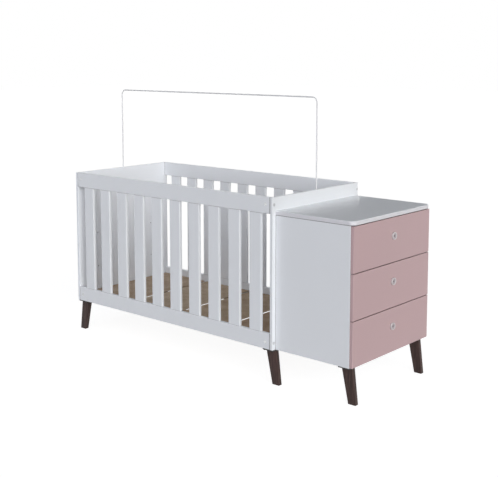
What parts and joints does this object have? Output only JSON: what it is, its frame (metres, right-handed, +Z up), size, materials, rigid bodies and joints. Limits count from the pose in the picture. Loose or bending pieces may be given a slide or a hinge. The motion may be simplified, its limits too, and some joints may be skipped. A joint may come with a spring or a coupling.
{
  "type": "crib with dresser",
  "caption": "Slatted crib on splayed wooden legs with a drawer dresser built onto one end, a base that sets at several heights, and a canopy rod across the top.",
  "frame": {"origin": "on the floor, under the middle of the whole piece", "axes": "+X along the crib towards the dresser, +Y from the front side to the back, +Z up"},
  "size_m": [1.762, 0.644, 1.2632],
  "materials": {
    "white_lacquer": "satin white lacquer on board",
    "white_gloss": "semi-gloss white lacquer on board",
    "rose_lacquer": "satin dusty-rose lacquer on board",
    "dark_wood": "dark brown stained wood, satin",
    "base_board": "bare brown hardboard, matte",
    "bearer_wood": "bare pine, matte",
    "drawer_board": "white melamine board, matte",
    "tray_board": "white faced hardboard, matte",
    "beech": "bare beech, matte",
    "rod_enamel": "white enamel on steel rod",
    "black_plate": "dark painted steel",
    "zinc": "bright zinc plate",
    "knob_metal": "satin metal"
  },
  "bodies": {
    "frame": {"left_end_panel": "white_lacquer", "shared_end_panel": "white_lacquer", "front_top_rail": "white_lacquer", "front_bottom_rail": "white_lacquer", "front_slats": "white_lacquer", "back_top_rail": "white_lacquer", "back_bottom_rail": "white_lacquer", "back_slats": "white_lacquer", "corner_bolts": "zinc", "barrel_nuts": "zinc", "support_bolts": "zinc", "front_left_leg": "dark_wood", "back_left_leg": "dark_wood", "front_middle_leg": "dark_wood", "back_middle_leg": "dark_wood", "front_right_leg": "dark_wood", "back_right_leg": "dark_wood", "leg_plates": "black_plate", "leg_bolts": "zinc", "leg_screws": "zinc", "dresser_top": "white_gloss", "dresser_front_side": "white_lacquer", "dresser_back_side": "white_lacquer", "dresser_bottom": "white_lacquer", "case_dowels": "beech", "case_runners": "zinc", "case_runner_screws": "zinc"},
    "mattress_base": {"base_boards": "base_board", "base_bearers": "bearer_wood"},
    "canopy": {"canopy_rod": "rod_enamel"},
    "bottom_drawer": {"bottom_drawer_front": "rose_lacquer", "bottom_drawer_left_side": "drawer_board", "bottom_drawer_right_side": "drawer_board", "bottom_drawer_back": "drawer_board", "bottom_drawer_tray": "tray_board", "bottom_drawer_dowels": "beech", "bottom_drawer_runners": "zinc", "bottom_drawer_runner_screws": "zinc", "bottom_drawer_knob": "knob_metal", "bottom_drawer_knob_screw": "zinc"},
    "middle_drawer": {"middle_drawer_front": "rose_lacquer", "middle_drawer_left_side": "drawer_board", "middle_drawer_right_side": "drawer_board", "middle_drawer_back": "drawer_board", "middle_drawer_tray": "tray_board", "middle_drawer_dowels": "beech", "middle_drawer_runners": "zinc", "middle_drawer_runner_screws": "zinc", "middle_drawer_knob": "knob_metal", "middle_drawer_knob_screw": "zinc"},
    "top_drawer": {"top_drawer_front": "rose_lacquer", "top_drawer_left_side": "drawer_board", "top_drawer_right_side": "drawer_board", "top_drawer_back": "drawer_board", "top_drawer_tray": "tray_board", "top_drawer_dowels": "beech", "top_drawer_runners": "zinc", "top_drawer_runner_screws": "zinc", "top_drawer_knob": "knob_metal", "top_drawer_knob_screw": "zinc"}
  },
  "joints": [
    {"name": "bottom_drawer_slide", "type": "slide", "parent": "frame", "child": "bottom_drawer", "axis": [1, 0, 0], "range_m": [0, 0.26]},
    {"name": "middle_drawer_slide", "type": "slide", "parent": "frame", "child": "middle_drawer", "axis": [1, 0, 0], "range_m": [0, 0.26]},
    {"name": "top_drawer_slide", "type": "slide", "parent": "frame", "child": "top_drawer", "axis": [1, 0, 0], "range_m": [0, 0.26]},
    {"name": "base_height", "type": "slide", "parent": "frame", "child": "mattress_base", "axis": [0, 0, 1], "range_m": [0, 0.318]},
    {"name": "canopy_lift", "type": "slide", "parent": "frame", "child": "canopy", "axis": [0, 0, 1], "range_m": [0, 0.07]}
  ]
}
